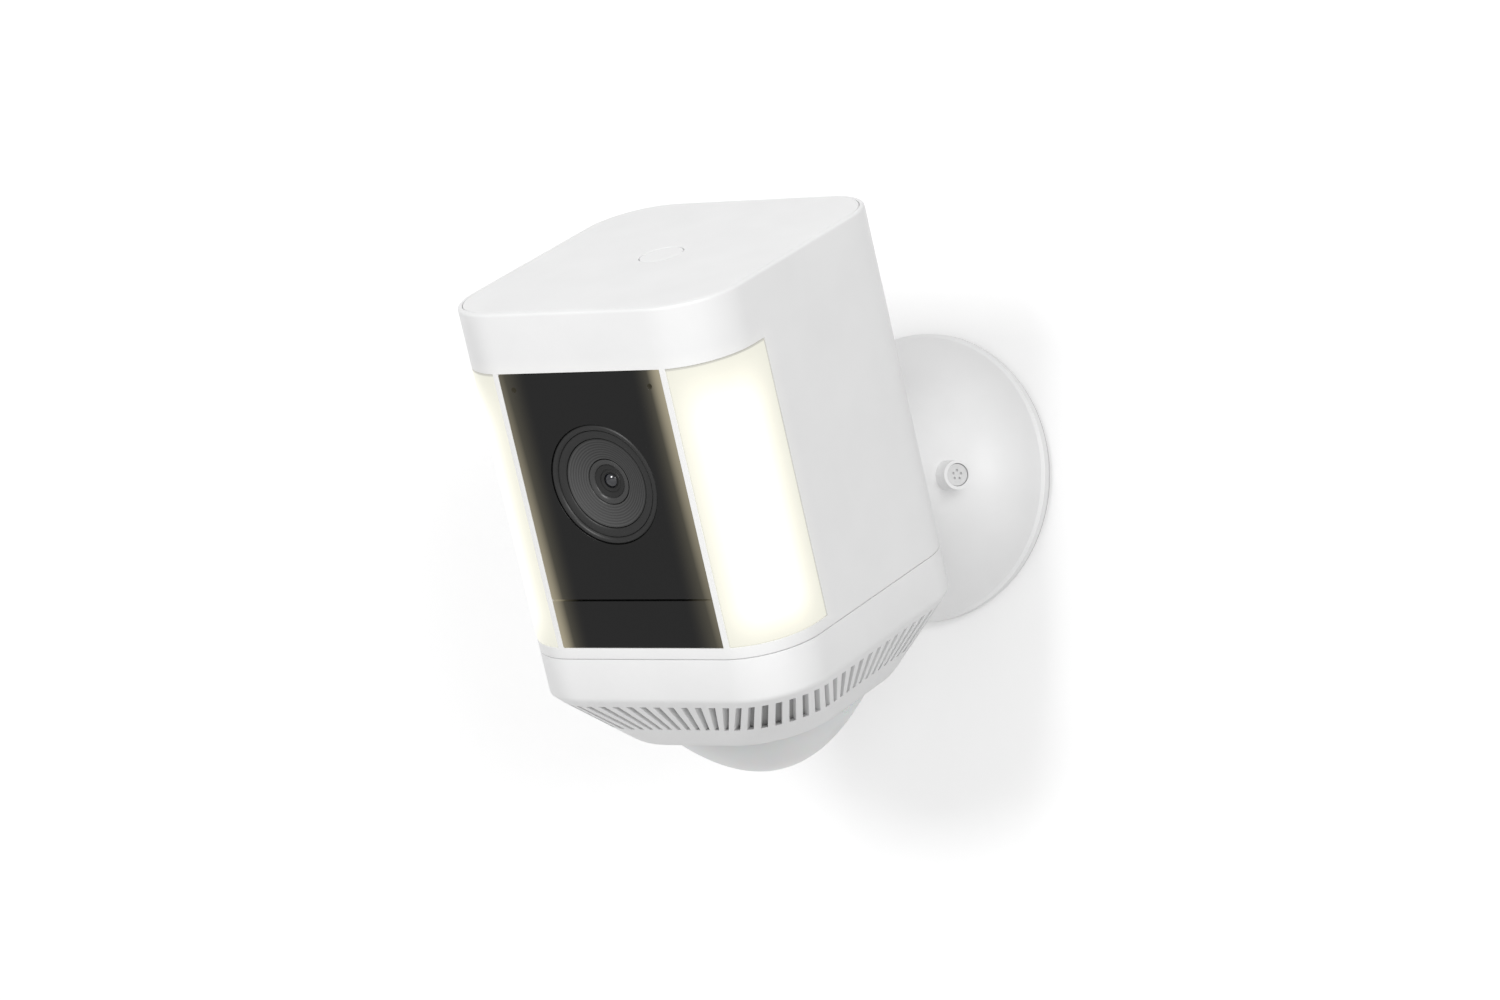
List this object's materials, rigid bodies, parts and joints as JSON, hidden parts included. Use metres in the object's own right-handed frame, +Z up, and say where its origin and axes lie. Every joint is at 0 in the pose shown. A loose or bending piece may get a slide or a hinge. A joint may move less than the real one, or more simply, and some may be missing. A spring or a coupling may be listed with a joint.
{
  "type": "floodlight security camera",
  "caption": "Battery security camera with a lens between two lit side panels, a motion-sensor dome below and a ball-jointed round wall mount.",
  "frame": {"origin": "centre of the wall plate's back face, on the wall", "axes": "+Y into the wall along the mount's axis, +Z up, +X to the right seen from the front"},
  "size_m": [0.077, 0.1489, 0.135],
  "materials": {
    "white_shell": "smooth semi-gloss white",
    "white_mount": "fine satin white",
    "plate_plastic": "plain moulded",
    "steel": "plain",
    "dark_steel": "blackened",
    "aluminium": "plain",
    "zinc": "cast",
    "friction_plastic": "plain",
    "seal_rubber": "matt",
    "black_panel": "polished black",
    "light_diffuser": "milky, lit from behind",
    "reflector_white": "bright white",
    "circuit_board": "solder mask",
    "led_yellow": "phosphor",
    "lens_ring": "polished ring",
    "lens_grey": "fine grooved satin",
    "lens_glass": "coated",
    "chip_black": "matt",
    "infrared_glass": "coated",
    "infrared_led": "clear dark",
    "cage_plastic": "plain",
    "contact_brass": "plain",
    "battery_plastic": "fine grain",
    "button_white": "satin",
    "base_white": "smooth semi-gloss white",
    "mesh_grey": "woven",
    "dome_milk": "milky translucent",
    "speaker_black": "paper cone"
  },
  "bodies": {
    "mount": {"wall_plate": "plate_plastic", "mount_cover": "white_mount", "security_screw": "steel", "seat_carrier": "zinc", "seat_block": "zinc", "preload_washers": "steel", "carrier_nut": "steel"},
    "pan_seat": {"seat_cup": "zinc"},
    "tilt_pad": {"friction_pad": "friction_plastic"},
    "head": {"ball_stud": "dark_steel", "stud_gasket": "seal_rubber", "stud_plate": "steel", "stud_nut": "steel", "main_shell": "white_shell", "top_cap": "white_shell", "upper_front_panel": "black_panel", "lower_front_panel": "black_panel", "diffuser_left": "light_diffuser", "diffuser_right": "light_diffuser", "reflector_left": "reflector_white", "reflector_right": "reflector_white", "led_board_left": "circuit_board", "led_board_right": "circuit_board", "leds_left": "led_yellow", "leds_right": "led_yellow", "heat_sink_left": "aluminium", "heat_sink_right": "aluminium", "lens_bezel": "lens_ring", "lens_cone": "lens_grey", "lens_inner_ring": "lens_ring", "lens_glass": "lens_glass", "lens_barrel": "chip_black", "image_sensor": "chip_black", "sensor_board": "circuit_board", "mic_boots": "seal_rubber", "ir_leds": "infrared_led", "battery_cage": "cage_plastic", "battery_contacts": "contact_brass", "main_board": "circuit_board", "board_chips": "chip_black", "wifi_antenna": "contact_brass", "button_switch": "chip_black", "shell_seal": "seal_rubber"},
    "button": {"setup_button": "button_white"},
    "ir_filter": {"ir_cut_filter": "infrared_glass"},
    "base": {"base_cover": "base_white", "vent_mesh": "mesh_grey", "sensor_dome": "dome_milk", "pir_board": "circuit_board", "pir_sensor": "steel", "siren_speaker": "speaker_black"},
    "left_pack": {"battery_left": "battery_plastic"},
    "right_pack": {"battery_right": "battery_plastic"}
  },
  "joints": [
    {"name": "ball_pan", "type": "hinge", "parent": "mount", "child": "pan_seat", "pos_m": [0, -0.032, 0], "axis": [0, 0, 1], "range_deg": [-28, 28]},
    {"name": "ball_tilt", "type": "hinge", "parent": "pan_seat", "child": "tilt_pad", "pos_m": [0, -0.032, 0], "axis": [1, 0, 0], "range_deg": [-32, 13]},
    {"name": "ball_twist", "type": "hinge", "parent": "tilt_pad", "child": "head", "pos_m": [0, -0.032, 0], "axis": [0, 0.9272, 0.3746], "range_deg": [-45, 45]},
    {"name": "button_press", "type": "slide", "parent": "head", "child": "button", "axis": [0, 0.3746, -0.9272], "range_m": [0, 0.0005], "stiffness_N_per_m": 800, "springref_m": -0.0004},
    {"name": "ir_filter_slide", "type": "slide", "parent": "head", "child": "ir_filter", "axis": [1, 0, 0], "range_m": [0, 0.008]},
    {"name": "base_slide", "type": "slide", "parent": "head", "child": "base", "axis": [0, 0.3746, -0.9272], "range_m": [0, 0.07]},
    {"name": "battery_left_slide", "type": "slide", "parent": "head", "child": "left_pack", "axis": [0, 0.3746, -0.9272], "range_m": [0, 0.035]},
    {"name": "battery_right_slide", "type": "slide", "parent": "head", "child": "right_pack", "axis": [0, 0.3746, -0.9272], "range_m": [0, 0.035]}
  ],
  "couplings": [
    {"joint": "battery_left_slide", "follows": "base_slide", "ratio": 0.5},
    {"joint": "battery_right_slide", "follows": "base_slide", "ratio": 0.5}
  ]
}
